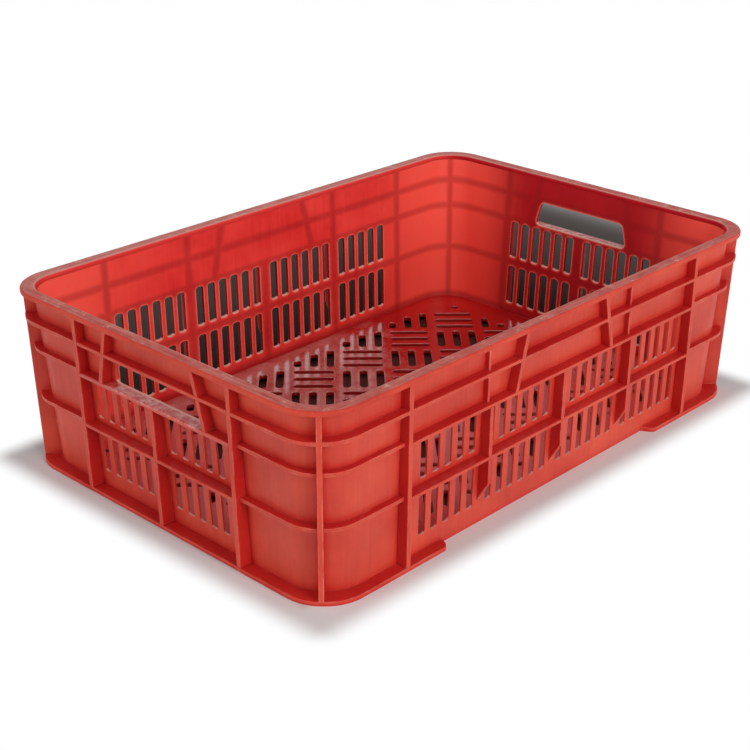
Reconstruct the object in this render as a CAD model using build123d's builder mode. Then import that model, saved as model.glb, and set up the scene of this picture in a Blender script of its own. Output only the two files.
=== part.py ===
from build123d import *

import os
from math import hypot, radians, sqrt, tan

# Overall size of the crate in millimetres
length = 600.0
width = 400.0
height = 172.0
corner_radius = 42.0

# Rim: a flat flange round the top
rim_height = 5.0
rim_inner_round = 3.0
rim_outer_round = 2.0
rim_lower_round = 1.0

# Draft: how far each surface stands in from the rim's edge, at the top and at the base
rib_inset_top = 1.5
rib_inset_base_end = 7.0
rib_inset_base_side = 3.0
wall_inset_top = 10.5
wall_inset_base_end = 20.0
wall_inset_base_side = 14.5
wall_thickness = 2.5
shallow_step = 4.5

# Corner radii of the ribs' and the walls' outer faces, at the top and at the base
rib_radius_top = 40.5
rib_radius_base = 43.0
wall_radius_top = 34.0
wall_radius_base = 41.0

# Corner zones: the walls end and the corners begin at the side ribs
corner_zone = 102.0
side_rib = 4.5
post = 4.3

# Bands: two hang below the top of the crate, one stands above its base
upper_drop = 28.0
middle_drop = 57.0
lower_band = 66.5
band = 3.2

# Base flange and the feet that it makes at the ends of the long walls
flange_height = 4.0
foot_end = 155.0
foot_slope = 11.0

# Upright ribs between the slot panels and the slope that each ends in
panel_rib = 4.0
short_rib = 2.2
rib_end_outer = 42.0
rib_end_inner = 22.0

# Slanted ribs beside the label field and the hand hole
slant_rib = 4.0
slant_half_top = 55.0
slant_half_low = 67.0

# Wall slots
slot_pitch = 15.0
slot_width = 8.2
slots_per_panel = 6
slot_round = 2.4
slot_draft = 15.0
slot_below_middle_band = 2.5
slot_above_lower_band = 6.0
slot_below_lower_band = 5.0
lower_slot_low = 19.0

# Hand holes
hole_half_top = 52.5
hole_half_low = 59.5
hole_round = 5.0
lip_round = 2.0

# Floor with its basket weave
floor_top = 8.0
floor_thickness = 4.5
cove = 3.0
weave_cell = 51.3
weave_shift_x = -2.5
weave_shift_y = 5.0
weave_slot_length = 42.0
weave_slot_width = 8.0
weave_shortest = 10.0
weave_margin_end = 31.0
weave_margin_side = 22.0
weave_corner = 60.0
drain_hole = 8.0
drain_inset_end = 54.5
drain_inset_side = 62.0

# Derived sizes
half_length = length / 2
half_width = width / 2
rim_low = height - rim_height
wall_end_x = half_length - corner_zone
wall_end_y = half_width - corner_zone
panel_pitch = wall_end_x / 2
end_panel_pitch = wall_end_y
upper_band = height - upper_drop
middle_band = height - middle_drop
upper_slot_high = middle_band - slot_below_middle_band
upper_slot_low = lower_band + slot_above_lower_band
lower_slot_high = lower_band - slot_below_lower_band
upper_low = upper_band - band / 2
upper_high = upper_band + band / 2
middle_low = middle_band - band / 2
middle_high = middle_band + band / 2
lower_low = lower_band - band / 2
lower_high = lower_band + band / 2
reach = 2 * length


def value_at(top, base, z):
    # A size that runs evenly from the base to the top
    return base + (top - base) * z / height


def drafted_block(inset, insets_base, radius, radius_base, z_low, z_high):
    # A rounded block whose ends and sides lean in towards the base
    with BuildPart() as block:
        for z in (z_low, z_high):
            in_x = value_at(inset, insets_base[0], z)
            in_y = value_at(inset, insets_base[1], z)
            with BuildSketch(Plane.XY.offset(z)):
                RectangleRounded(length - 2 * in_x, width - 2 * in_y, value_at(radius, radius_base, z))
        loft(ruled=True)
    return block.part


def slab(x_low, x_high, y_low, y_high, z_low, z_high):
    # A plain box between six planes
    centre = ((x_low + x_high) / 2, (y_low + y_high) / 2, z_low)
    with BuildPart() as box:
        with BuildSketch(Plane(centre)):
            Rectangle(x_high - x_low, y_high - y_low)
        extrude(amount=z_high - z_low)
    return box.part


def keep(piece, name):
    # Names a finished section and writes it out
    piece.part.label = name
    export_step(piece.part, f"parts/{name}.step")


def keep_turned(piece, name):
    # The same section on the opposite side, half a turn about the middle
    with BuildPart() as turned:
        add(piece.part.rotate(Axis.Z, 180))
    keep(turned, name)


def keep_mirrored(piece, name):
    # The same section at the other end of its wall
    with BuildPart() as mirrored:
        mirror(piece.part, about=Plane.YZ)
    keep(mirrored, name)
    return mirrored


os.makedirs("parts", exist_ok=True)

# Drafted envelopes that every section is cut from
rib_block = drafted_block(
    rib_inset_top, (rib_inset_base_end, rib_inset_base_side), rib_radius_top, rib_radius_base, 0, rim_low
)
shallow_block = drafted_block(
    rib_inset_top + shallow_step,
    (rib_inset_base_end + shallow_step, rib_inset_base_side + shallow_step),
    rib_radius_top - shallow_step,
    rib_radius_base - shallow_step,
    0,
    rim_low,
)
wall_block = drafted_block(
    wall_inset_top, (wall_inset_base_end, wall_inset_base_side), wall_radius_top, wall_radius_base, 0, rim_low
)
inner_block = drafted_block(
    wall_inset_top + wall_thickness,
    (wall_inset_base_end + wall_thickness, wall_inset_base_side + wall_thickness),
    wall_radius_top - wall_thickness,
    wall_radius_base - wall_thickness,
    floor_top,
    height,
)

# Inside of the crate, with a rounded cove where the walls meet the floor
with BuildPart() as inside:
    add(inner_block)
    fillet(inside.edges().group_by(Axis.Z)[0], cove)

# The floor panel fills the flat inside the cove
foot_width = wall_thickness + cove
floor_half_x = half_length - value_at(wall_inset_top, wall_inset_base_end, floor_top) - foot_width
floor_half_y = half_width - value_at(wall_inset_top, wall_inset_base_side, floor_top) - foot_width
floor_radius = value_at(wall_radius_top, wall_radius_base, floor_top) - foot_width

# Ring of wall, all round, with its rounded foot
with BuildPart() as shell:
    add(wall_block)
    add(inside.part, mode=Mode.SUBTRACT)
    with BuildSketch():
        RectangleRounded(2 * floor_half_x, 2 * floor_half_y, floor_radius)
    extrude(amount=floor_top, mode=Mode.SUBTRACT)

# Rings between the wall and the ribs' outer faces
with BuildPart() as rib_ring:
    add(rib_block)
    add(wall_block, mode=Mode.SUBTRACT)
with BuildPart() as shallow_ring:
    add(shallow_block)
    add(wall_block, mode=Mode.SUBTRACT)

# Whole rim, cut into lengths below
with BuildPart() as rim_ring:
    rim_width = wall_inset_top + wall_thickness
    with BuildSketch(Plane.XY.offset(rim_low)):
        RectangleRounded(length, width, corner_radius)
        RectangleRounded(
            length - 2 * rim_width,
            width - 2 * rim_width,
            wall_radius_top - wall_thickness,
            mode=Mode.SUBTRACT,
        )
    extrude(amount=rim_height)
    top_loops = rim_ring.faces().sort_by(Axis.Z)[-1]
    fillet(top_loops.inner_wires()[0].edges(), rim_inner_round)
    top_loops = rim_ring.faces().sort_by(Axis.Z)[-1]
    fillet(top_loops.outer_wire().edges(), rim_outer_round)
    low_loops = rim_ring.faces().sort_by(Axis.Z)[0]
    fillet(low_loops.outer_wire().edges(), rim_lower_round)

# Zones that divide the ring into walls and corners
front_zone = slab(-wall_end_x, wall_end_x, -half_width, -wall_end_y, 0, height)
left_zone = slab(-half_length, -wall_end_x, -wall_end_y, wall_end_y, 0, height)
corner_box = slab(-half_length, -wall_end_x, -half_width, -wall_end_y, 0, height)


def lean_plane(near, low, high):
    # Plane on the inner face of a wall: x runs along the wall, y up it and z outwards
    if near == "front":
        return Plane(origin=(0, -half_width + low, 0), x_dir=(1, 0, 0), z_dir=(0, -height, high - low))
    return Plane(origin=(-half_length + low, 0, 0), x_dir=(0, -1, 0), z_dir=(-height, 0, high - low))


front_plane = lean_plane("front", wall_inset_base_side + wall_thickness, wall_inset_top + wall_thickness)
left_plane = lean_plane("left", wall_inset_base_end + wall_thickness, wall_inset_top + wall_thickness)


def slot_places(pitch, panels, missing):
    # Middle points of the slots along a wall, panel by panel
    places = []
    for panel in range(panels):
        middle = (panel - (panels - 1) / 2) * pitch
        for index in range(slots_per_panel):
            places.append(middle + (index - (slots_per_panel - 1) / 2) * slot_pitch)
    return [x for x in places if missing is None or abs(x - missing) > 1]


def slot_shape(tall):
    # One upright slot lying in the wall's plane: it narrows from the inner to the outer face
    flare = 2 * wall_thickness * tan(radians(slot_draft))
    with BuildPart() as shape:
        with BuildSketch(Plane.XY.offset(-wall_thickness)):
            RectangleRounded(slot_width + 2 * flare, tall + 2 * flare, slot_round + flare)
        extrude(amount=3 * wall_thickness, taper=slot_draft)
    return shape.part


upper_slot = slot_shape(upper_slot_high - upper_slot_low)
lower_slot = slot_shape(lower_slot_high - lower_slot_low)
upper_slot_middle = (upper_slot_high + upper_slot_low) / 2
lower_slot_middle = (lower_slot_high + lower_slot_low) / 2


def straight_wall(plane, half_span, inset_base, floor_half, half_run):
    # A wall between two corners, drawn as a section whose x runs outwards from the middle
    outer_top = half_span - value_at(wall_inset_top, inset_base, rim_low)
    inner_low = half_span - value_at(wall_inset_top, inset_base, floor_top) - wall_thickness
    with BuildPart() as wall:
        with BuildSketch(plane) as section:
            with BuildLine():
                Polyline(
                    (half_span - inset_base, 0),
                    (outer_top, rim_low),
                    (outer_top - wall_thickness, rim_low),
                    (inner_low, floor_top),
                    (floor_half, floor_top),
                    (floor_half, 0),
                    close=True,
                )
            make_face()
            foot_corner = plane.from_local_coords((inner_low, floor_top, 0))
            fillet(section.vertices().sort_by_distance(foot_corner)[0], cove)
        extrude(amount=half_run, both=True)
    return wall.part


# Side walls: the slot next to one corner is left out
first_slot = -1.5 * panel_pitch - (slots_per_panel - 1) / 2 * slot_pitch
front_places = slot_places(panel_pitch, 4, first_slot)
front_section = Plane(origin=(0, 0, 0), x_dir=(0, -1, 0), z_dir=(-1, 0, 0))
plain_front = straight_wall(front_section, half_width, wall_inset_base_side, floor_half_y, wall_end_x)
with BuildPart() as front_wall:
    add(plain_front)
    with Locations(*[front_plane * Pos(x, upper_slot_middle) for x in front_places]):
        add(upper_slot, mode=Mode.SUBTRACT)
    with Locations(*[front_plane * Pos(x, lower_slot_middle) for x in front_places]):
        add(lower_slot, mode=Mode.SUBTRACT)
keep(front_wall, "front_wall")
keep_turned(front_wall, "rear_wall")

# End walls with a hand hole between the upper and the middle band
left_places = slot_places(end_panel_pitch, 2, None)
left_section = Plane(origin=(0, 0, 0), x_dir=(-1, 0, 0), z_dir=(0, 1, 0))
plain_left = straight_wall(left_section, half_length, wall_inset_base_end, floor_half_x, wall_end_y)
with BuildPart() as left_end_wall:
    add(plain_left)
    with Locations(*[left_plane * Pos(x, upper_slot_middle) for x in left_places]):
        add(upper_slot, mode=Mode.SUBTRACT)
    with Locations(*[left_plane * Pos(x, lower_slot_middle) for x in left_places]):
        add(lower_slot, mode=Mode.SUBTRACT)
    with BuildSketch(Plane.YZ.offset(-half_length)) as hole:
        with BuildLine():
            Polyline(
                (-hole_half_low, middle_high),
                (hole_half_low, middle_high),
                (hole_half_top, upper_low),
                (-hole_half_top, upper_low),
                close=True,
            )
        make_face()
        fillet(hole.vertices().group_by(Axis.Z)[-1], hole_round)
    extrude(amount=half_length, mode=Mode.SUBTRACT)
keep(left_end_wall, "left_end_wall")
keep_turned(left_end_wall, "right_end_wall")

# Corner walls
with BuildPart() as corner_wall:
    add(shell.part)
    add(corner_box, mode=Mode.INTERSECT)
keep(corner_wall, "corner_wall_front_left")
keep_turned(corner_wall, "corner_wall_rear_right")
corner_wall_right = keep_mirrored(corner_wall, "corner_wall_front_right")
keep_turned(corner_wall_right, "corner_wall_rear_left")

# Rim lengths and bends
with BuildPart() as rim_front:
    add(rim_ring.part)
    add(front_zone, mode=Mode.INTERSECT)
keep(rim_front, "rim_front")
keep_turned(rim_front, "rim_rear")
with BuildPart() as rim_left:
    add(rim_ring.part)
    add(left_zone, mode=Mode.INTERSECT)
keep(rim_left, "rim_left")
keep_turned(rim_left, "rim_right")
with BuildPart() as rim_corner:
    add(rim_ring.part)
    add(corner_box, mode=Mode.INTERSECT)
keep(rim_corner, "rim_corner_front_left")
keep_turned(rim_corner, "rim_corner_rear_right")
rim_corner_right = keep_mirrored(rim_corner, "rim_corner_front_right")
keep_turned(rim_corner_right, "rim_corner_rear_left")

# Base flange along the ends
flange_zone = slab(-half_length, 0, -wall_end_y, wall_end_y, 0, flange_height)
with BuildPart() as flange_left:
    add(rib_ring.part)
    add(flange_zone, mode=Mode.INTERSECT)
keep(flange_left, "base_flange_left")
keep_turned(flange_left, "base_flange_right")

# Corner feet: the flange round the corner and a short way along the side wall
foot_outer_y = -half_width
foot_head = (-foot_end, foot_outer_y + rib_inset_base_side)
foot_tail = (-foot_end + foot_slope, foot_outer_y + wall_inset_base_side)
with BuildPart() as foot:
    add(rib_ring.part)
    with BuildSketch() as foot_plan:
        with BuildLine():
            Polyline(
                foot_tail,
                (-foot_end + foot_slope, -wall_end_y),
                (-half_length, -wall_end_y),
                (-half_length, foot_outer_y),
                (-foot_end, foot_outer_y),
                foot_head,
            )
            Spline(foot_head, foot_tail, tangents=((1, 0), (1, 1)))
        make_face()
    extrude(amount=flange_height, mode=Mode.INTERSECT)
keep(foot, "corner_foot_front_left")
keep_turned(foot, "corner_foot_rear_right")
foot_right = keep_mirrored(foot, "corner_foot_front_right")
keep_turned(foot_right, "corner_foot_rear_left")

# Side ribs, from the flange to the rim, one at each end of every wall
half_rib = side_rib / 2
rib_zone = slab(-wall_end_x - half_rib, -wall_end_x + half_rib, -half_width, 0, flange_height, rim_low)
with BuildPart() as side_rib_long:
    add(rib_ring.part)
    add(rib_zone, mode=Mode.INTERSECT)
keep(side_rib_long, "side_rib_front_left")
keep_turned(side_rib_long, "side_rib_rear_right")
side_rib_long_right = keep_mirrored(side_rib_long, "side_rib_front_right")
keep_turned(side_rib_long_right, "side_rib_rear_left")
rib_zone = slab(-half_length, 0, -wall_end_y - half_rib, -wall_end_y + half_rib, flange_height, rim_low)
with BuildPart() as side_rib_end:
    add(rib_ring.part)
    add(rib_zone, mode=Mode.INTERSECT)
keep(side_rib_end, "side_rib_left_front")
keep_turned(side_rib_end, "side_rib_right_rear")
side_rib_end_right = keep_mirrored(side_rib_end, "side_rib_right_front")
keep_turned(side_rib_end_right, "side_rib_left_rear")

# Corner cage: a post at 45 degrees, a full band below the rim and two shallow bands
corner_middle = (-half_length + corner_radius, -half_width + corner_radius, 0)
post_plane = Plane(origin=corner_middle, x_dir=(-1, -1, 0), z_dir=(0, 0, 1))
cage_x = -wall_end_x - half_rib
cage_y = -wall_end_y - half_rib
cage_zone = slab(-half_length, cage_x, -half_width, cage_y, flange_height, rim_low)
upper_zone = slab(-half_length, cage_x, -half_width, cage_y, upper_low, upper_high)
middle_zone = slab(-half_length, cage_x, -half_width, cage_y, middle_low, middle_high)
lower_zone = slab(-half_length, cage_x, -half_width, cage_y, lower_low, lower_high)
with BuildPart() as upper_bend:
    add(rib_ring.part)
    add(upper_zone, mode=Mode.INTERSECT)
with BuildPart() as shallow_bends:
    add(middle_zone)
    add(lower_zone)
    add(shallow_ring.part, mode=Mode.INTERSECT)
with BuildPart() as cage:
    with BuildSketch(post_plane):
        Rectangle(2 * corner_radius, post, align=(Align.MIN, Align.CENTER))
    extrude(amount=rim_low)
    add(cage_zone, mode=Mode.INTERSECT)
    add(rib_ring.part, mode=Mode.INTERSECT)
    add(upper_bend.part)
    add(shallow_bends.part)
keep(cage, "corner_cage_front_left")
keep_turned(cage, "corner_cage_rear_right")
cage_right = keep_mirrored(cage, "corner_cage_front_right")
keep_turned(cage_right, "corner_cage_rear_left")

# Bands along the walls
for name, low, high in (
    ("upper", upper_low, upper_high),
    ("middle", middle_low, middle_high),
    ("lower", lower_low, lower_high),
):
    front_band_zone = slab(-wall_end_x + half_rib, wall_end_x - half_rib, -half_width, 0, low, high)
    with BuildPart() as band_front:
        add(rib_ring.part)
        add(front_band_zone, mode=Mode.INTERSECT)
    keep(band_front, f"{name}_band_front")
    keep_turned(band_front, f"{name}_band_rear")
    left_band_zone = slab(-half_length, 0, -wall_end_y + half_rib, wall_end_y - half_rib, low, high)
    with BuildPart() as band_left:
        add(rib_ring.part)
        add(left_band_zone, mode=Mode.INTERSECT)
        if name == "middle":
            # The middle band is the lip of the hand hole and has a rounded edge
            fillet(band_left.edges().group_by(Axis.Z)[-1].sort_by(Axis.X)[0], lip_round)
    keep(band_left, f"{name}_band_left")
    keep_turned(band_left, f"{name}_band_right")

# Levels where the upper and the lower band cut through the upright ribs
upper_gap = slab(-reach, reach, -reach, reach, upper_low, upper_high)
lower_gap = slab(-reach, reach, -reach, reach, lower_low, lower_high)


def panel_rib_at(x):
    # An upright rib of a side wall: it runs out in a slope below the lower slots
    outer = -half_width
    inner = -half_width + wall_inset_base_side
    with BuildPart() as upright:
        add(rib_ring.part)
        with BuildSketch(Plane.YZ.offset(x)):
            with BuildLine():
                Polyline(
                    (outer, middle_low),
                    (inner, middle_low),
                    (inner, rib_end_inner),
                    (outer + rib_inset_base_side, rib_end_outer),
                    (outer, rib_end_outer),
                    close=True,
                )
            make_face()
        extrude(amount=panel_rib / 2, both=True, mode=Mode.INTERSECT)
        add(lower_gap, mode=Mode.SUBTRACT)
    return upright


middle_rib = panel_rib_at(0)
keep(middle_rib, "panel_rib_front_middle")
keep_turned(middle_rib, "panel_rib_rear_middle")

# The outer upright ribs go on above the middle band as short shallow ribs
upright_rib = panel_rib_at(-panel_pitch)
short_zone = slab(
    -panel_pitch - short_rib / 2, -panel_pitch + short_rib / 2, -half_width, 0, middle_high, rim_low
)
with BuildPart() as outer_rib:
    add(shallow_ring.part)
    add(short_zone, mode=Mode.INTERSECT)
    add(upper_gap, mode=Mode.SUBTRACT)
    add(upright_rib.part)
keep(outer_rib, "panel_rib_front_left")
keep_turned(outer_rib, "panel_rib_rear_right")
outer_rib_right = keep_mirrored(outer_rib, "panel_rib_front_right")
keep_turned(outer_rib_right, "panel_rib_rear_left")

# Upright rib in the middle of an end wall, from the middle band to the flange
end_rib_zone = slab(-half_length, 0, -panel_rib / 2, panel_rib / 2, flange_height, middle_low)
with BuildPart() as end_rib:
    add(rib_ring.part)
    add(end_rib_zone, mode=Mode.INTERSECT)
    add(lower_gap, mode=Mode.SUBTRACT)
keep(end_rib, "panel_rib_left")
keep_turned(end_rib, "panel_rib_right")


def slanted_pair(plane):
    # Two ribs that lean towards each other from the middle band up to the rim
    with BuildPart() as pair:
        with BuildSketch(plane):
            for side in (-1, 1):
                with BuildLine():
                    Polyline(
                        (side * (slant_half_low - slant_rib / 2), middle_high),
                        (side * (slant_half_low + slant_rib / 2), middle_high),
                        (side * (slant_half_top + slant_rib / 2), rim_low),
                        (side * (slant_half_top - slant_rib / 2), rim_low),
                        close=True,
                    )
                make_face()
        extrude(amount=half_length)
        add(rib_ring.part, mode=Mode.INTERSECT)
        add(upper_gap, mode=Mode.SUBTRACT)
    return pair


label_ribs = slanted_pair(Plane.XZ)
keep(label_ribs, "label_ribs_front")
keep_turned(label_ribs, "label_ribs_rear")
handle_ribs = slanted_pair(Plane(origin=(0, 0, 0), x_dir=(0, -1, 0), z_dir=(-1, 0, 0)))
keep(handle_ribs, "handle_ribs_left")
keep_turned(handle_ribs, "handle_ribs_right")

# Floor: cells set at 45 degrees, each with three slots, turned from cell to cell
field_x = floor_half_x - weave_margin_end
field_y = floor_half_y - weave_margin_side
arc_x = field_x - weave_corner
arc_y = field_y - weave_corner
diagonal = 1 / sqrt(2)


def weave_slots():
    # Middles of the floor slots, by length and direction; slots at the field's edge are shortened
    slots = {}
    count = int(length / weave_cell) + 1
    for row in range(-count, count):
        for column in range(-count, count):
            for step in (-1, 0, 1):
                along = (row + 0.5) * weave_cell
                across = (column + 0.5) * weave_cell
                turned = (row + column) % 2 == 0
                if turned:
                    along += step * weave_cell / 3
                    way = (-diagonal, diagonal)
                else:
                    across += step * weave_cell / 3
                    way = (diagonal, diagonal)
                x = (along - across) * diagonal + weave_shift_x
                y = (along + across) * diagonal + weave_shift_y
                low = -weave_slot_length / 2
                high = weave_slot_length / 2
                for place, slope, limit in ((x, way[0], field_x), (y, way[1], field_y)):
                    ends = sorted(((-limit - place) / slope, (limit - place) / slope))
                    low = max(low, ends[0])
                    high = min(high, ends[1])
                if high - low < weave_shortest:
                    continue
                middle = (low + high) / 2
                x += middle * way[0]
                y += middle * way[1]
                if hypot(max(abs(x) - arc_x, 0), max(abs(y) - arc_y, 0)) > weave_corner:
                    continue
                kind = (round(high - low, 3), 135 if turned else 45)
                slots.setdefault(kind, []).append((x, y))
    return slots


with BuildPart() as floor_panel:
    with BuildSketch(Plane.XY.offset(floor_top - floor_thickness)):
        RectangleRounded(2 * floor_half_x, 2 * floor_half_y, floor_radius)
        for (long, angle), middles in weave_slots().items():
            with Locations(*middles):
                SlotOverall(long, weave_slot_width, rotation=angle, mode=Mode.SUBTRACT)
        with GridLocations(length - 2 * drain_inset_end, width - 2 * drain_inset_side, 2, 2):
            Circle(drain_hole / 2, mode=Mode.SUBTRACT)
    extrude(amount=floor_thickness)
keep(floor_panel, "floor_panel")
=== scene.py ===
# %% [markdown]
# A red harvest crate, moulded in one piece of high-density polyethylene.
# The imported solids already have its true shape and place, so the work here is the camera,
# the light, the rounded edges of the ribs and above all the plastic: faded outside, with the
# shade of the ribs that show through the thin walls painted inside, and rubbed pale on the rim.

# %% Load the frame
from math import pi, radians

import bpy
from mathutils import Matrix, Vector

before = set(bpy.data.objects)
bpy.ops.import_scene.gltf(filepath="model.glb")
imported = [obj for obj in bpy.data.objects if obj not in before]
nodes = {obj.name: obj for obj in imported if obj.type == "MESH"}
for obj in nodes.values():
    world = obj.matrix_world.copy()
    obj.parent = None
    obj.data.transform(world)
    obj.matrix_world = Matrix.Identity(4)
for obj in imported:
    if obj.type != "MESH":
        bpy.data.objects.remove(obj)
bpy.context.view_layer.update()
MM = 0.001
print("nodes in the frame:", len(nodes))

# %% [markdown]
# The camera stands where the photographer did. Its place, its turn and its lens were fitted
# to the straight edges of the rim, the ribs and the base, so the render lies over the picture.

# %% Camera
image_size = 750
focal_pixels = 1512.8
yaw, pitch, roll = radians(46.455), radians(24.705), radians(0.166)
camera_data = bpy.data.cameras.new("photo_camera")
camera_data.sensor_width = 36.0
camera_data.lens = focal_pixels * camera_data.sensor_width / image_size
camera_data.shift_x = -1.2 / image_size
camera_data.shift_y = 5.0 / image_size
camera_data.clip_end = 50.0
camera = bpy.data.objects.new("photo_camera", camera_data)
bpy.context.scene.collection.objects.link(camera)
camera.location = (-0.97488, -0.89863, 0.65219)
turn = Matrix.Rotation(-yaw, 3, "Z") @ Matrix.Rotation(pi / 2 - pitch, 3, "X")
turn = turn @ Matrix.Rotation(roll, 3, "Z")
camera.rotation_euler = turn.to_euler()
bpy.context.scene.camera = camera
print("lens in mm:", round(camera_data.lens, 2))

# %% [markdown]
# Every material below is a small tree of nodes. A few helpers keep them short: one turns the
# colours, written as sRGB hex, into the linear values that Blender works in, one adds a node
# together with its settings and its links, and one starts a material. The last tells the rays
# that look or mirror from those that only carry light, because the studio shows plain white to
# the first and lights the crate with the second.


# %% Helpers for materials
def linear(code):
    # sRGB hex to the linear colour that Blender's sockets take
    channels = [int(code[i : i + 2], 16) / 255 for i in (1, 3, 5)]
    return [c / 12.92 if c <= 0.04045 else ((c + 0.055) / 1.055) ** 2.4 for c in channels] + [1.0]


def add_node(tree, kind, inputs=None, **settings):
    # Adds one node; an input is a plain value or the socket of another node
    node = tree.nodes.new(kind)
    for name, value in settings.items():
        setattr(node, name, value)
    for key, value in (inputs or {}).items():
        if isinstance(value, bpy.types.NodeSocket):
            tree.links.new(value, node.inputs[key])
        else:
            node.inputs[key].default_value = value
    return node


def new_material(name):
    # An empty material with its Principled shader
    material = bpy.data.materials.new(name)
    material.use_nodes = True
    return material, material.node_tree, material.node_tree.nodes["Principled BSDF"]


def looking_rays(tree):
    # 1 for rays that look, mirror or look through, 0 for those that only carry light
    rays = add_node(tree, "ShaderNodeLightPath").outputs
    looking = rays["Is Camera Ray"]
    for kind in ("Is Glossy Ray", "Is Transmission Ray"):
        either = add_node(tree, "ShaderNodeMath", {0: looking, 1: rays[kind]}, operation="MAXIMUM")
        looking = either.outputs[0]
    return looking


print("white in linear values:", linear("#FFFFFF"))

# %% [markdown]
# The studio is a pale paper sweep. A large flat plane is enough, because the camera looks
# down on it and never sees its edge. To the right and the rear, where the lamps reach least, a
# long shadow of the crate is painted into the paper's colour. The painted shadow is the crate's
# rectangle, swept that way, spreading and softening as it goes: each point is moved back along
# the sweep until it is level with the rectangle, and lies in the shadow if it then falls inside.
# Sums like these are plain arithmetic nodes, so they are written as a list, each with its result,
# its operation and its terms.

# %% Studio floor
bpy.ops.object.select_all(action="DESELECT")
bpy.ops.mesh.primitive_plane_add(size=40.0, location=(0, 0, 0))
studio_floor = bpy.context.object
studio_floor.name = "studio_floor"
crate_half = (0.3, 0.2)
shade_way = (0.75, 0.66)
shade_half = (0.26, 0.14)
shade_spread = 0.1
shade_edge, shade_soft = 0.04, 0.2

paper, tree, shader = new_material("matt_white_paper_with_painted_shadow")
shader.inputs["Roughness"].default_value = 0.95
shader.inputs["Specular IOR Level"].default_value = 0.0
spot = add_node(tree, "ShaderNodeTexCoord").outputs["Object"]
spot = add_node(tree, "ShaderNodeSeparateXYZ", {0: spot}).outputs
sums = {"x": spot["X"], "y": spot["Y"]}
for result, operation, *terms in (
    ("past x", "SUBTRACT", "x", shade_half[0]),
    ("past x", "DIVIDE", "past x", shade_way[0]),
    ("past y", "SUBTRACT", "y", shade_half[1]),
    ("past y", "DIVIDE", "past y", shade_way[1]),
    ("sweep", "MAXIMUM", "past x", "past y"),
    ("sweep", "MAXIMUM", "sweep", 0.0),
    ("off x", "MULTIPLY_ADD", "sweep", -shade_way[0], "x"),
    ("off x", "ABSOLUTE", "off x"),
    ("off x", "SUBTRACT", "off x", shade_half[0]),
    ("off y", "MULTIPLY_ADD", "sweep", -shade_way[1], "y"),
    ("off y", "ABSOLUTE", "off y"),
    ("off y", "SUBTRACT", "off y", shade_half[1]),
    ("off", "MAXIMUM", "off x", "off y"),
    ("off", "MULTIPLY_ADD", "sweep", -shade_spread, "off"),
    ("soft", "MULTIPLY_ADD", "sweep", shade_soft, shade_edge),
    ("off", "DIVIDE", "off", "soft"),
    ("out x", "ABSOLUTE", "x"),
    ("out x", "SUBTRACT", "out x", crate_half[0]),
    ("out x", "MAXIMUM", "out x", 0.0),
    ("out y", "ABSOLUTE", "y"),
    ("out y", "SUBTRACT", "out y", crate_half[1]),
    ("out y", "MAXIMUM", "out y", 0.0),
    ("out x", "MULTIPLY", "out x", "out x"),
    ("out", "MULTIPLY_ADD", "out y", "out y", "out x"),
    ("out", "SQRT", "out"),
):
    inputs = {i: sums.get(term, term) for i, term in enumerate(terms)}
    sums[result] = add_node(tree, "ShaderNodeMath", inputs, operation=operation).outputs[0]
print("sums for the paper:", len(sums))

# %% [markdown]
# To the camera the paper shows plain white a few centimetres from the crate. Closer in it is
# true matt paper and keeps the soft shadow. The long shadow is painted into the paper's colour,
# deeper than the lamps alone would make it, so that the slots of the far walls stand out dark: a
# painted warm brown shadow under the crate, nearly black just behind it, then greyer and thinner
# until it is gone. The eye sees brightness as about the 2.2nd root of light, so a fade that
# looks even is a power of the share.

# %% Paper, its painted shadow and its white distance
eye_power = 2.2
masks = {}
for name, measure, start, stop in (
    ("beside", "off", 1.0, 0.0),
    ("near", "sweep", 0.66, 0.4),
    ("behind", "sweep", 0.0, 0.04),
    ("thinner", "sweep", 0.05, 0.5),
    ("away", "out", 0.0, 0.03),
):
    masks[name] = add_node(
        tree,
        "ShaderNodeMapRange",
        {"Value": sums[measure], "From Min": start, "From Max": stop},
        interpolation_type="SMOOTHSTEP",
    ).outputs[0]
masks["looking"] = looking_rays(tree)
for result, operation, *terms in (
    ("shade", "MULTIPLY", "beside", "near"),
    ("lit", "SUBTRACT", 1.0, "shade"),
    ("lit", "POWER", "lit", eye_power),
    ("share", "MULTIPLY", "away", "lit"),
    ("share", "MULTIPLY", "share", "looking"),
):
    inputs = {i: masks.get(term, term) for i, term in enumerate(terms)}
    masks[result] = add_node(tree, "ShaderNodeMath", inputs, operation=operation).outputs[0]
# the painted shadow's tones: nearly black behind the crate, greyer further out, warm brown under it
mixes = {0: masks["thinner"], 6: linear("#302927"), 7: linear("#665F5C")}
behind = add_node(tree, "ShaderNodeMix", mixes, data_type="RGBA").outputs[2]
mixes = {0: masks["behind"], 6: linear("#8A5A52"), 7: behind}
dark = add_node(tree, "ShaderNodeMix", mixes, data_type="RGBA").outputs[2]
mixes = {0: masks["lit"], 6: dark, 7: linear("#E6E6E6")}
tone = add_node(tree, "ShaderNodeMix", mixes, data_type="RGBA").outputs[2]
tree.links.new(tone, shader.inputs["Base Color"])
white = add_node(tree, "ShaderNodeEmission", {"Color": linear("#FFFFFF"), "Strength": 1.0})
both = {0: masks["share"], 1: shader.outputs[0], 2: white.outputs[0]}
mixed = add_node(tree, "ShaderNodeMixShader", both)
tree.links.new(mixed.outputs[0], tree.nodes["Material Output"].inputs["Surface"])
studio_floor.data.materials.append(paper)
print("studio floor:", tuple(round(v, 1) for v in studio_floor.dimensions))

# %% [markdown]
# The light comes mostly from the front and fairly low: the long wall is brighter than the end
# wall, and the top faces of the ribs are dark. So the sky of the studio is brighter near the
# horizon than overhead and dimmer at the right and the rear, one large soft box stands in front, a
# little to the left, and a weak one fills in from the left. The plastic mirrors a white studio, so
# rays that mirror see the sky as plain white: that gives the pale sheen on the rim and, through the
# slots of the far wall, the pale streaks on the floor.

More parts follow.
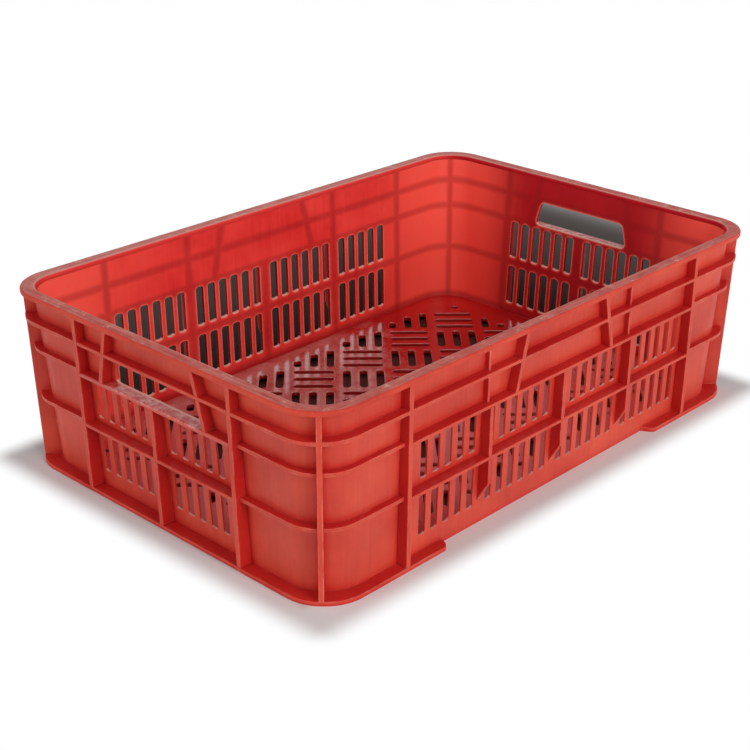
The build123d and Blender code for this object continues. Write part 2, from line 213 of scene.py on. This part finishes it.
# %% Light
world = bpy.data.worlds.new("studio_world")
bpy.context.scene.world = world
world.use_nodes = True
tree = world.node_tree
ray_way = add_node(tree, "ShaderNodeTexCoord").outputs["Generated"]
ray_way = add_node(tree, "ShaderNodeSeparateXYZ", {0: ray_way}).outputs
rear_way = add_node(tree, "ShaderNodeMath", {0: ray_way["X"], 1: ray_way["Y"]}, operation="ADD")
sky_parts = []
for measure, start, stop, least, most in (
    (ray_way["Z"], 0.0, 0.9, 0.95, 0.22),
    (rear_way.outputs[0], 0.2, 1.2, 1.0, 0.45),
):
    inputs = {"Value": measure, "From Min": start, "From Max": stop, "To Min": least, "To Max": most}
    sky_parts.append(add_node(tree, "ShaderNodeMapRange", inputs).outputs[0])
light = add_node(tree, "ShaderNodeMath", {0: sky_parts[0], 1: sky_parts[1]}, operation="MULTIPLY")
inputs = {0: looking_rays(tree), 2: light.outputs[0], 3: 1.0}
sky_level = add_node(tree, "ShaderNodeMix", inputs, data_type="FLOAT")
sky = tree.nodes["Background"]
sky.inputs["Color"].default_value = linear("#FFFFFF")
tree.links.new(sky_level.outputs[0], sky.inputs["Strength"])


def soft_box(name, place, target, size, power):
    # A square area lamp turned towards a point
    data = bpy.data.lights.new(name, "AREA")
    data.shape = "SQUARE"
    data.size = size
    data.energy = power
    lamp = bpy.data.objects.new(name, data)
    bpy.context.scene.collection.objects.link(lamp)
    lamp.location = place
    lamp.rotation_euler = (Vector(target) - Vector(place)).to_track_quat("-Z", "Y").to_euler()
    return lamp


soft_box("front_soft_box", (-0.5, -4.3, 1.95), (0, 0, 0.1), 2.0, 118)
soft_box("left_soft_box", (-3.3, 0.6, 1.2), (0, 0, 0.1), 1.6, 22)

# %% [markdown]
# Moulded polyethylene is never sharp: the ribs have a small radius along their edges, and
# that radius is what catches the light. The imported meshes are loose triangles, so a Weld
# modifier closes them first, and a Bevel modifier then rounds the edges of the bars.

# %% Rounded rib edges
RIB_WORDS = ("side_rib", "panel_rib", "_band_", "label_ribs", "handle_ribs", "base_flange", "corner_foot")
ribs = [name for name in nodes if any(word in name for word in RIB_WORDS)]
for name in ribs:
    weld = nodes[name].modifiers.new("close_triangles", "WELD")
    weld.merge_threshold = 0.01 * MM
    bevel = nodes[name].modifiers.new("mould_radius", "BEVEL")
    bevel.width = 0.8 * MM
    bevel.segments = 2
    bevel.limit_method = "ANGLE"
    bevel.angle_limit = radians(40)
    bevel.harden_normals = False
print("ribs with rounded edges:", len(ribs))

# %% [markdown]
# One plastic, six finishes. All of them need to know which way a face looks. The crate is a
# rounded box, so the way out is the direction from the nearest point of a plain rectangle in
# its middle: the dot product of that direction and the normal is 1 on an outer face, -1 on an
# inner one and about 0 on the sides and tops of the ribs.

# %% Ways out of the crate
CORE = Vector((240 * MM, 145 * MM, 0.0))


def read_place(tree):
    # The point, its way out, how far out it is, how far its face looks out, and its normal
    place = add_node(tree, "ShaderNodeTexCoord").outputs["Object"]
    normal = add_node(tree, "ShaderNodeNewGeometry").outputs["Normal"]
    near = add_node(tree, "ShaderNodeVectorMath", {0: place, 1: CORE}, operation="MINIMUM")
    near = add_node(tree, "ShaderNodeVectorMath", {0: near.outputs[0], 1: -CORE}, operation="MAXIMUM")
    way = add_node(tree, "ShaderNodeVectorMath", {0: place, 1: near.outputs[0]}, operation="SUBTRACT")
    way = add_node(tree, "ShaderNodeVectorMath", {0: way.outputs[0], 1: (1, 1, 0)}, operation="MULTIPLY")
    reach = add_node(tree, "ShaderNodeVectorMath", {0: way.outputs[0]}, operation="LENGTH")
    way = add_node(tree, "ShaderNodeVectorMath", {0: way.outputs[0]}, operation="NORMALIZE")
    out = add_node(tree, "ShaderNodeVectorMath", {0: way.outputs[0], 1: normal}, operation="DOT_PRODUCT")
    return place, way.outputs[0], reach.outputs["Value"], out.outputs["Value"], normal


print("rectangle in the middle:", tuple(round(2 * c, 3) for c in CORE))

# %% [markdown]
# Years outdoors fade the red unevenly: cloudy patches the size of a hand, and faint upright
# streaks where crates slide against each other. Both are noise, the streaks being a noise that
# is squeezed to 4 mm across and stretched to 90 mm upright.

# %% Uneven fading
CLOUD, STREAK_WIDTH, STREAK_LENGTH = 70 * MM, 4 * MM, 90 * MM


def uneven_fading(tree, place):
    # A level from 0 to 1 that drifts in clouds and streaks
    inputs = {"Vector": place, "Scale": 1 / CLOUD, "Detail": 4.0, "Roughness": 0.6}
    clouds = add_node(tree, "ShaderNodeTexNoise", inputs)
    stretch = (1 / STREAK_WIDTH, 1 / STREAK_WIDTH, 1 / STREAK_LENGTH)
    squeeze = add_node(tree, "ShaderNodeMapping", {"Vector": place, "Scale": stretch})
    inputs = {"Vector": squeeze.outputs[0], "Scale": 1.0, "Detail": 3.0, "Roughness": 0.6}
    streaks = add_node(tree, "ShaderNodeTexNoise", inputs)
    inputs = {0: streaks.outputs[0], 1: 0.3, 2: clouds.outputs[0]}
    level = add_node(tree, "ShaderNodeMath", inputs, operation="MULTIPLY_ADD")
    inputs = {"Value": level.outputs[0], "From Min": 0.45, "From Max": 0.86}
    return add_node(tree, "ShaderNodeMapRange", inputs).outputs[0]


print("clouds and streaks in mm:", [round(size / MM) for size in (CLOUD, STREAK_WIDTH, STREAK_LENGTH)])

# %% [markdown]
# Only the faces that look outwards are faded and rubbed dull. The sides and tops of the ribs
# keep a deeper red, partly the unfaded red of new plastic and partly painted shade. In the
# corners between them and the wall the deep red is painted shade: ambient occlusion finds those
# corners, low where other faces stand close by.

# %% Weathered red with painted corner shade
CORNER_SHADE_REACH = 9 * MM


def weathered_red_with_painted_shade(tree, out, level):
    # Faded where the face looks outwards and lies open, deep red elsewhere; in the corners the deep red is
    # painted shade
    corner_shade = add_node(tree, "ShaderNodeAmbientOcclusion", {"Distance": CORNER_SHADE_REACH}, samples=8)
    parts = []
    for measure, start, stop in ((out, 0.3, 0.85), (corner_shade.outputs["AO"], 0.4, 0.9)):
        inputs = {"Value": measure, "From Min": start, "From Max": stop}
        parts.append(add_node(tree, "ShaderNodeMapRange", inputs).outputs[0])
    fade = add_node(tree, "ShaderNodeMath", {0: parts[0], 1: parts[1]}, operation="MULTIPLY")
    reds = []
    for dark, bright in (("#BA1B1A", "#CA2F27"), ("#BE3D30", "#D7533F")):
        inputs = {0: level, 6: linear(dark), 7: linear(bright)}
        reds.append(add_node(tree, "ShaderNodeMix", inputs, data_type="RGBA").outputs[2])
    inputs = {0: fade.outputs[0], 6: reds[0], 7: reds[1]}
    return add_node(tree, "ShaderNodeMix", inputs, data_type="RGBA").outputs[2]


print("corners sheltered within mm:", round(CORNER_SHADE_REACH / MM))

# %% [markdown]
# The edges that stand out furthest are scuffed pale where crates knock together. Ambient
# occlusion that looks into the plastic finds such edges, because the next face is close behind
# them, and a noise leaves the scuffs in patches.

# %% Scuffed edges
KNOCK = 16 * MM


def scuffed_edges(tree, place, colour):
    # Pale patches along the outer edges of the ribs
    depth = add_node(
        tree, "ShaderNodeAmbientOcclusion", {"Distance": 2 * MM}, samples=8, inside=True, only_local=True
    )
    inputs = {"Vector": place, "Scale": 1 / KNOCK, "Detail": 5.0, "Roughness": 0.7}
    knocks = add_node(tree, "ShaderNodeTexNoise", inputs)
    parts = []
    for measure, start, stop, most in (
        (depth.outputs["AO"], 0.85, 0.45, 1.0),
        (knocks.outputs[0], 0.44, 0.66, 0.6),
    ):
        inputs = {"Value": measure, "From Min": start, "From Max": stop, "To Max": most}
        parts.append(add_node(tree, "ShaderNodeMapRange", inputs).outputs[0])
    share = add_node(tree, "ShaderNodeMath", {0: parts[0], 1: parts[1]}, operation="MULTIPLY")
    inputs = {0: share.outputs[0], 6: colour, 7: linear("#E39C8C")}
    return add_node(tree, "ShaderNodeMix", inputs, data_type="RGBA").outputs[2]


print("knocks in mm:", round(KNOCK / MM))

# %% [markdown]
# Polyethylene from a mould is satin rather than glossy, with a fine uneven grain. Noise on the
# roughness and a shallow bump give that, and break up the highlights along the ribs. The plastic
# is also a little translucent: subsurface scattering lets light run a few millimetres through
# it, red the furthest, and softens the shading of the thin ribs.

# %% Moulded surface
GRAIN = 3 * MM


def moulded_surface(tree, shader, colour, place, roughness, mirror, rounded=None, dull=0.0):
    # Colour, uneven gloss with dull places, how much the surface mirrors, and a fine moulded grain
    tree.links.new(colour, shader.inputs["Base Color"])
    inputs = {"Vector": place, "Scale": 1 / GRAIN, "Detail": 5.0, "Roughness": 0.7}
    grain = add_node(tree, "ShaderNodeTexNoise", inputs).outputs[0]
    inputs = {"Value": grain, "From Min": 0.3, "From Max": 0.7}
    inputs.update({"To Min": roughness[0], "To Max": roughness[1]})
    gloss = add_node(tree, "ShaderNodeMapRange", inputs)
    gloss = add_node(tree, "ShaderNodeMath", {0: gloss.outputs[0], 1: dull}, operation="ADD")
    tree.links.new(gloss.outputs[0], shader.inputs["Roughness"])
    bump = add_node(tree, "ShaderNodeBump", {"Height": grain, "Strength": 0.1, "Distance": 0.3 * MM})
    if rounded:
        tree.links.new(rounded, bump.inputs["Normal"])
    tree.links.new(bump.outputs[0], shader.inputs["Normal"])
    shader.inputs["IOR"].default_value = 1.54
    shader.inputs["Subsurface Weight"].default_value = 0.5
    shader.inputs["Subsurface Radius"].default_value = (1.0, 0.25, 0.2)
    shader.inputs["Subsurface Scale"].default_value = 4 * MM
    shader.inputs["Specular IOR Level"].default_value = mirror


print("grain in mm:", round(GRAIN / MM))

# %% [markdown]
# The outer finish puts these steps together: faded and streaked, with painted shade in the
# corners, scuffed along the edges, satin.
# The ribs, the feet and most of the bands have it.

# %% Outer finish
outer, tree, shader = new_material("weathered_red_polyethylene")
place, _, _, out, _ = read_place(tree)
colour = weathered_red_with_painted_shade(tree, out, uneven_fading(tree, place))
colour = scuffed_edges(tree, place, colour)
moulded_surface(tree, shader, colour, place, (0.4, 0.56), 0.2)
print("made", outer.name)

# %% [markdown]
# The post in the middle of each corner is broad, and its sides are as faded as the wall, so on
# the corner cages every upright face counts as one that looks outwards.

# %% Corner finish
corner, tree, shader = new_material("weathered_red_polyethylene_corner")
place, _, _, out, normal = read_place(tree)
upright = add_node(tree, "ShaderNodeSeparateXYZ", {0: normal}).outputs["Z"]
upright = add_node(tree, "ShaderNodeMath", {0: upright}, operation="ABSOLUTE")
upright = add_node(tree, "ShaderNodeMath", {0: 1.0, 1: upright.outputs[0]}, operation="SUBTRACT")
out = add_node(tree, "ShaderNodeMath", {0: upright.outputs[0], 1: out}, operation="MAXIMUM").outputs[0]
colour = weathered_red_with_painted_shade(tree, out, uneven_fading(tree, place))
colour = scuffed_edges(tree, place, colour)
moulded_surface(tree, shader, colour, place, (0.4, 0.56), 0.2)
print("made", corner.name)

# %% [markdown]
# The band under each hand hole is the lip that hands carry the crate by. Between the slanted
# ribs its rounded top is rubbed to a chalky pink, so it has the weathered red with a layer of
# wear: noise that only shows on faces that look up, within 60 mm of the middle.

# %% Hand-hole lip finish
lip, tree, shader = new_material("hand_rubbed_red_polyethylene")
place, _, _, out, normal = read_place(tree)
colour = weathered_red_with_painted_shade(tree, out, uneven_fading(tree, place))
along = add_node(tree, "ShaderNodeSeparateXYZ", {0: place}).outputs["Y"]
along = add_node(tree, "ShaderNodeMath", {0: along}, operation="ABSOLUTE").outputs[0]
up = add_node(tree, "ShaderNodeSeparateXYZ", {0: normal}).outputs["Z"]
inputs = {"Vector": place, "Scale": 1 / (9 * MM), "Detail": 5.0, "Roughness": 0.7}
rubs = add_node(tree, "ShaderNodeTexNoise", inputs).outputs[0]
worn = []
for measure, start, stop in ((along, 64 * MM, 52 * MM), (up, 0.1, 0.6), (rubs, 0.36, 0.68)):
    inputs = {"Value": measure, "From Min": start, "From Max": stop}
    soft = add_node(tree, "ShaderNodeMapRange", inputs, interpolation_type="SMOOTHSTEP")
    worn.append(soft.outputs[0])
share = add_node(tree, "ShaderNodeMath", {0: worn[0], 1: worn[1]}, operation="MULTIPLY")
share = add_node(tree, "ShaderNodeMath", {0: share.outputs[0], 1: worn[2]}, operation="MULTIPLY")
inputs = {0: share.outputs[0], 6: colour, 7: linear("#DFA29A")}
colour = add_node(tree, "ShaderNodeMix", inputs, data_type="RGBA").outputs[2]
moulded_surface(tree, shader, colour, place, (0.36, 0.5), 0.5)
print("made", lip.name)

# %% [markdown]
# The walls are only a few millimetres thick and the plastic lets some light through, so from
# inside the ribs show as darker, soft-edged bands; that shade is painted into the colour here.
# The bands follow the ribs' true places: three levels, the uprights and the slanted pairs. Their
# distances are sums again. Ping-pong folds a coordinate so that zero comes back at every multiple
# of the rib pitch.

# %% Distances to the ribs behind the walls
band_levels = (144 * MM, 115 * MM, 66.5 * MM)
side_pitch, end_pitch = 99 * MM, 98 * MM
side_last, end_last = 215 * MM, 115 * MM
bay_half = 50 * MM
slant_top, slant_half, slant_rate = 167 * MM, 55 * MM, 0.238
post_offset, corner_start = 100 * MM, 230 * MM
walls, tree, shader = new_material("thin_red_polyethylene_wall_with_painted_light")
place, way, _, out, normal = read_place(tree)
level = uneven_fading(tree, place)
outside = weathered_red_with_painted_shade(tree, out, level)
spot = add_node(tree, "ShaderNodeSeparateXYZ", {0: place}).outputs
course = add_node(tree, "ShaderNodeSeparateXYZ", {0: way}).outputs
sums = {"x": spot["X"], "y": spot["Y"], "z": spot["Z"], "out": out}
sums.update({"way x": course["X"], "way y": course["Y"]})
sums["up"] = add_node(tree, "ShaderNodeSeparateXYZ", {0: normal}).outputs["Z"]
for result, operation, *terms in (
    ("side", "ABSOLUTE", "x"),
    ("end", "ABSOLUTE", "y"),
    ("across", "ABSOLUTE", "way y"),
    ("on side", "GREATER_THAN", "across", 0.72),
    ("upper", "SUBTRACT", "z", band_levels[0]),
    ("upper", "ABSOLUTE", "upper"),
    ("middle", "SUBTRACT", "z", band_levels[1]),
    ("middle", "ABSOLUTE", "middle"),
    ("lower", "SUBTRACT", "z", band_levels[2]),
    ("lower", "ABSOLUTE", "lower"),
    ("band", "MINIMUM", "upper", "middle"),
    ("band", "MINIMUM", "band", "lower"),
    ("high", "GREATER_THAN", "z", band_levels[1]),
    ("low", "SUBTRACT", 1.0, "high"),
    ("drop", "SUBTRACT", slant_top, "z"),
    ("slant", "MULTIPLY_ADD", "drop", slant_rate, slant_half),
    ("slant side", "SUBTRACT", "side", "slant"),
    ("slant side", "ABSOLUTE", "slant side"),
    ("slant side", "ADD", "slant side", "low"),
    ("slant end", "SUBTRACT", "end", "slant"),
    ("slant end", "ABSOLUTE", "slant end"),
    ("slant end", "ADD", "slant end", "low"),
    ("upright side", "PINGPONG", "x", side_pitch / 2),
    ("middle bay", "LESS_THAN", "side", bay_half),
    ("middle bay", "MULTIPLY", "middle bay", "high"),
    ("upright side", "ADD", "upright side", "middle bay"),
    ("past side", "GREATER_THAN", "side", side_last),
    ("upright side", "ADD", "upright side", "past side"),
    ("upright end", "PINGPONG", "y", end_pitch / 2),
    ("middle bay", "LESS_THAN", "end", bay_half),
    ("middle bay", "MULTIPLY", "middle bay", "high"),
    ("upright end", "ADD", "upright end", "middle bay"),
    ("past end", "GREATER_THAN", "end", end_last),
    ("upright end", "ADD", "upright end", "past end"),
    ("near side", "MINIMUM", "upright side", "slant side"),
    ("near end", "MINIMUM", "upright end", "slant end"),
    ("step", "SUBTRACT", "near side", "near end"),
    ("upright", "MULTIPLY_ADD", "on side", "step", "near end"),
    ("post", "SUBTRACT", "side", "end"),
    ("post", "SUBTRACT", "post", post_offset),
    ("post", "ABSOLUTE", "post"),
    ("straight", "LESS_THAN", "side", corner_start),
    ("post", "ADD", "post", "straight"),
    ("upright", "MINIMUM", "upright", "post"),
):
    inputs = {i: sums.get(term, term) for i, term in enumerate(terms)}
    sums[result] = add_node(tree, "ShaderNodeMath", inputs, operation=operation).outputs[0]
print("sums for the walls:", len(sums))

# %% [markdown]
# Each distance becomes a soft mask. The long walls are brighter inside and the end walls deeper
# red, partly the plastic's own colour and partly painted light and shade. The rounded corners
# have no ribs but the post behind them and let the most light through, so they get a painted
# orange glow. Just above the floor all of it is painted dark, a painted shade where the wall
# meets the floor.

# %% Inside of the walls
masks = {}
for name, measure, start, stop, most in (
    ("bands", "band", 6.5 * MM, 0.8 * MM, 0.42),
    ("uprights", "upright", 7.5 * MM, 1.0 * MM, 0.45),
    ("corner side", "side", 130 * MM, 255 * MM, 1.0),
    ("corner end", "end", 65 * MM, 155 * MM, 1.0),
    ("long wall", "across", 0.35, 0.85, 1.0),
    ("foot", "z", 18 * MM, 8 * MM, 0.75),
):
    masks[name] = add_node(
        tree,
        "ShaderNodeMapRange",
        {"Value": sums[measure], "From Min": start, "From Max": stop, "To Max": most},
        interpolation_type="SMOOTHSTEP",
    ).outputs[0]
for result, operation, *terms in (
    ("ribs", "MAXIMUM", "bands", "uprights"),
    ("corner", "MULTIPLY", "corner side", "corner end"),
):
    inputs = {i: masks[term] for i, term in enumerate(terms)}
    masks[result] = add_node(tree, "ShaderNodeMath", inputs, operation=operation).outputs[0]
inputs = {0: level, 6: linear("#D42523"), 7: linear("#F04840")}
bright = add_node(tree, "ShaderNodeMix", inputs, data_type="RGBA").outputs[2]
inputs = {0: level, 6: linear("#AA0A17"), 7: linear("#BE161E")}
inside = add_node(tree, "ShaderNodeMix", inputs, data_type="RGBA").outputs[2]
# painted light and shade inside: the brighter long walls, the glowing corners, the shade of the ribs and at
# the foot
for mask, tone in (
    ("long wall", bright),
    ("corner", linear("#FA5A4B")),
    ("ribs", linear("#930F15")),
    ("foot", linear("#9C1316")),
):
    inputs = {0: masks[mask], 6: inside, 7: tone}
    inside = add_node(tree, "ShaderNodeMix", inputs, data_type="RGBA").outputs[2]
print("inside masks:", list(masks))

# %% [markdown]
# The bars between the slots are thin and get a painted highlight. Their edges on the inside are
# pale, partly rubbed by fruit and hands and partly a painted highlight, and the sills at the lower
# ends of the slots get a painted highlight too. The sides of the slots are painted bright on the
# front and left walls, and deep red on the other two, which less light reaches: painted light and
# shade. A Bevel node bends the normal near an edge, so the more it differs from the true normal,
# the closer the edge is. The ends of each wall section are edges as well, but they only meet the
# next section and stay plain.

# %% Slot lips, painted slot highlights and wall finish
slots_middle, slots_half = 89 * MM, 74 * MM
slots_side, slots_end = 192 * MM, 92 * MM
bent = add_node(tree, "ShaderNodeBevel", {"Radius": 5 * MM}, samples=8)
true_normal = add_node(tree, "ShaderNodeNewGeometry").outputs["True Normal"]
edge = add_node(tree, "ShaderNodeVectorMath", {0: bent.outputs[0], 1: true_normal}, operation="DOT_PRODUCT")
for name, start, stop, most in (("bars", 0.99, 0.88, 0.65), ("lips", 0.83, 0.75, 0.75)):
    inputs = {"Value": edge.outputs["Value"], "From Min": start, "From Max": stop, "To Max": most}
    sums[name] = add_node(tree, "ShaderNodeMapRange", inputs).outputs[0]
for result, operation, *terms in (
    ("inward", "LESS_THAN", "out", -0.3),
    ("slot side", "COMPARE", "out", 0.0, 0.3),
    ("clear", "COMPARE", "z", slots_middle, slots_half),
    ("along side", "LESS_THAN", "side", slots_side),
    ("along side", "MULTIPLY", "along side", "on side"),
    ("along end", "LESS_THAN", "end", slots_end),
    ("along", "MAXIMUM", "along side", "along end"),
    ("clear", "MULTIPLY", "clear", "along"),
    ("slot side", "MULTIPLY", "slot side", "clear"),
    ("far", "ADD", "way x", "way y"),
    ("far", "GREATER_THAN", "far", 0.0),
    ("far", "MULTIPLY", "far", "slot side"),
    ("sill_highlight", "GREATER_THAN", "up", 0.5),
    ("sill_highlight", "MULTIPLY", "sill_highlight", "slot side"),
    ("clear", "MULTIPLY", "clear", "inward"),
    ("bars", "MULTIPLY", "bars", "clear"),
    ("lips", "MULTIPLY", "lips", "clear"),
):
    inputs = {i: sums.get(term, term) for i, term in enumerate(terms)}
    sums[result] = add_node(tree, "ShaderNodeMath", inputs, operation=operation).outputs[0]
# painted light and shade on the slots: bright sides, shaded far sides, highlighted sills and bars; the lips
# are partly wear and partly a painted highlight
colour = outside
for mask, tone in (
    ("inward", inside),
    ("slot side", linear("#DC5646")),
    ("far", linear("#7C1512")),
    ("sill_highlight", linear("#EFA797")),
    ("bars", linear("#F0604C")),
    ("lips", linear("#F09C8C")),
):
    inputs = {0: sums[mask], 6: colour, 7: tone}
    colour = add_node(tree, "ShaderNodeMix", inputs, data_type="RGBA").outputs[2]
moulded_surface(tree, shader, colour, place, (0.36, 0.52), 0.2)
print("made", walls.name)

# %% [markdown]
# The rim is where crates stand on each other. Its flat top is rubbed to a chalky pink, streaked
# along the rim, nicked and scuffed, with a painted sheen that makes it a little paler at the rear.
# The rounded inner edge has a paler painted highlight. Below it the inner face has the red of the
# walls inside, with the same painted light and shade, and the outer edge keeps the colour of the
# walls outside. Two noises are stretched along X and along Y, and each side of the crate takes
# the one that runs its way.

# %% Rim masks
rim_streak, rim_streak_length = 3.2 * MM, 60 * MM
rim, tree, shader = new_material("rubbed_red_polyethylene_rim")
place, way, _, out, normal = read_place(tree)
course = add_node(tree, "ShaderNodeSeparateXYZ", {0: way}).outputs
across = add_node(tree, "ShaderNodeMath", {0: course["Y"]}, operation="ABSOLUTE").outputs[0]
up = add_node(tree, "ShaderNodeSeparateXYZ", {0: normal}).outputs["Z"]
inputs = {"Vector": place, "Scale": 1 / (12 * MM), "Detail": 6.0, "Roughness": 0.75}
nicks = add_node(tree, "ShaderNodeTexNoise", inputs).outputs[0]
masks = {}
for name, measure, start, stop, most in (
    ("on side", across, 0.5, 0.9, 1.0),
    ("inward", out, -0.6, -0.8, 1.0),
    ("scuffs", nicks, 0.58, 0.7, 1.0),
    ("rear", course["Y"], 0.1, 0.9, 0.18),
    ("top", up, 0.8, 0.99, 1.0),
    ("inner edge", out, -0.12, -0.35, 0.5),
    ("above face", out, -0.85, -0.6, 1.0),
):
    inputs = {"Value": measure, "From Min": start, "From Max": stop, "To Max": most}
    masks[name] = add_node(tree, "ShaderNodeMapRange", inputs).outputs[0]
inputs = {0: masks["inner edge"], 1: masks["above face"]}
masks["inner_edge_highlight"] = add_node(tree, "ShaderNodeMath", inputs, operation="MULTIPLY").outputs[0]
streaks = []
for width_x, width_y in ((rim_streak, rim_streak_length), (rim_streak_length, rim_streak)):
    inputs = {"Vector": place, "Scale": (1 / width_x, 1 / width_y, 1.0)}
    squeeze = add_node(tree, "ShaderNodeMapping", inputs).outputs[0]
    inputs = {"Vector": squeeze, "Scale": 1.0, "Detail": 5.0, "Roughness": 0.7}
    streaks.append(add_node(tree, "ShaderNodeTexNoise", inputs).outputs[0])
inputs = {0: masks["on side"], 2: streaks[0], 3: streaks[1]}
streak = add_node(tree, "ShaderNodeMix", inputs, data_type="FLOAT").outputs[0]
inputs = {0: nicks, 1: 0.7, 2: streak}
rubbed = add_node(tree, "ShaderNodeMath", inputs, operation="MULTIPLY_ADD").outputs[0]
inputs = {"Value": rubbed, "From Min": 0.64, "From Max": 1.06}
masks["rubbed"] = add_node(tree, "ShaderNodeMapRange", inputs).outputs[0]
print("rim masks:", list(masks))

# %% [markdown]
# With the masks made, the colours of the rim are a list of mixes, each with its result, its mask
# and the two tones that the mask mixes.

# %% Rim finish
tones = {"outside": weathered_red_with_painted_shade(tree, out, uneven_fading(tree, place))}
# the paler rear is a painted sheen, and the paler inner edge a painted highlight
for result, mask, *pair in (
    ("inside", "on side", "#B4101B", "#D83530"),
    ("sides", "inward", "outside", "inside"),
    ("chalk", "rubbed", "#B83831", "#DA8074"),
    ("chalk", "scuffs", "chalk", "#E9B6AC"),
    ("chalk", "rear", "chalk", "#E6B4AC"),
    ("colour", "top", "sides", "chalk"),
    ("colour", "inner_edge_highlight", "colour", "#E9B6AC"),
):
    first, second = [tones[tone] if tone in tones else linear(tone) for tone in pair]
    inputs = {0: masks[mask], 6: first, 7: second}
    tones[result] = add_node(tree, "ShaderNodeMix", inputs, data_type="RGBA").outputs[2]
moulded_surface(tree, shader, tones["colour"], place, (0.42, 0.6), 0.11)
print("made", rim.name)

# %% [markdown]
# The floor is still dark and glossy where nothing rubs on it, so it mirrors the light that
# falls through the slots of the far wall. Elsewhere it is scraped to a dull pink, and towards the
# rear it is paler still, partly wear and partly a painted reflection of that light; the edges of
# its slots are paler too. Along the front and left walls it is scraped less and is duller, and to
# the right it has kept its red. A Bevel node finds the edges as above, and also rounds them to the
# eye, which gives each bar of the weave its highlight. The outer border of the panel isn't an edge
# on the real crate, where the floor runs on into the walls, so it is left out.

# %% Floor masks
border_reach = 31 * MM
base, tree, shader = new_material("scraped_red_polyethylene_floor_with_painted_reflection")
place, _, reach, _, normal = read_place(tree)
inputs = {"Vector": place, "Scale": 1 / (26 * MM), "Detail": 7.0, "Roughness": 0.7}
scrapes = add_node(tree, "ShaderNodeTexNoise", inputs).outputs[0]
bent = add_node(tree, "ShaderNodeBevel", {"Radius": 2.0 * MM}, samples=8).outputs[0]
true_normal = add_node(tree, "ShaderNodeNewGeometry").outputs["True Normal"]
inputs = {0: reach, 1: border_reach}
border = add_node(tree, "ShaderNodeMath", inputs, operation="GREATER_THAN").outputs[0]
inputs = {0: border, 4: bent, 5: true_normal}
rounded = add_node(tree, "ShaderNodeMix", inputs, data_type="VECTOR").outputs[1]
edge = add_node(tree, "ShaderNodeVectorMath", {0: rounded, 1: true_normal}, operation="DOT_PRODUCT")
spot = add_node(tree, "ShaderNodeSeparateXYZ", {0: place}).outputs
sums = {"scrapes": scrapes, "edge": edge.outputs["Value"], "x": spot["X"], "y": spot["Y"]}
sums["up"] = add_node(tree, "ShaderNodeSeparateXYZ", {0: normal}).outputs["Z"]
# the rear patch is partly wear and partly a painted reflection of the light through the far slots
for result, measure, start, stop, least, most in (
    ("edge", "edge", 0.98, 0.8, 0.0, 0.5),
    ("patch", "x", 90 * MM, 180 * MM, 0.08, -0.3),
    ("rear_wear_and_reflection", "y", 20 * MM, 130 * MM, 0.0, 0.12),
    ("front patch", "y", -10 * MM, -110 * MM, 0.0, -0.22),
    ("left patch", "x", -60 * MM, -170 * MM, 0.0, -0.22),
    ("steep", "up", 0.3, 0.7, 1.0, 0.0),
):
    inputs = {"Value": sums[measure], "From Min": start, "From Max": stop}
    inputs.update({"To Min": least, "To Max": most})
    sums[result] = add_node(tree, "ShaderNodeMapRange", inputs).outputs[0]
for result, operation, *terms in (
    ("worn", "ADD", "scrapes", "patch"),
    ("worn", "ADD", "worn", "rear_wear_and_reflection"),
    ("dull", "ADD", "front patch", "left patch"),
    ("worn", "ADD", "worn", "dull"),
    ("dull", "MULTIPLY", "dull", -2.0),
):
    inputs = {i: sums.get(term, term) for i, term in enumerate(terms)}
    sums[result] = add_node(tree, "ShaderNodeMath", inputs, operation=operation).outputs[0]
inputs = {"Value": sums["worn"], "From Min": 0.5, "From Max": 0.86, "To Max": 0.7}
sums["worn"] = add_node(tree, "ShaderNodeMapRange", inputs).outputs[0]
print("floor masks:", list(sums))

# %% [markdown]
# The sides of the floor's slots are steep and stay deep red. All else is red plastic with the
# pale edges and the scrapes laid over it.

# %% Floor finish
inputs = {0: uneven_fading(tree, place), 6: linear("#BC1319"), 7: linear("#D02523")}
colour = add_node(tree, "ShaderNodeMix", inputs, data_type="RGBA").outputs[2]
for mask, tone in (("edge", "#E08478"), ("worn", "#E6A79E"), ("steep", "#A8261F")):
    inputs = {0: sums[mask], 6: colour, 7: linear(tone)}
    colour = add_node(tree, "ShaderNodeMix", inputs, data_type="RGBA").outputs[2]
moulded_surface(tree, shader, colour, place, (0.08, 0.2), 1.0, rounded, sums["dull"])
print("made", base.name)

# %% [markdown]
# Now each section of the crate takes the finish of its place.

# %% Dress the nodes
dressed = {}
for name, node in nodes.items():
    if name.startswith("rim_"):
        finish = rim
    elif name == "floor_panel":
        finish = base
    elif name in ("middle_band_left", "middle_band_right"):
        finish = lip
    elif name.startswith("corner_cage"):
        finish = corner
    elif name.endswith("_wall") or name.startswith("corner_wall"):
        finish = walls
    else:
        finish = outer
    node.data.materials.clear()
    node.data.materials.append(finish)
    dressed[finish.name] = dressed.get(finish.name, 0) + 1
print("dressed:", dressed)

# %% [markdown]
# Last, plain colour management, so that a colour renders as it is written.

# %% View settings
bpy.context.scene.view_settings.view_transform = "Standard"
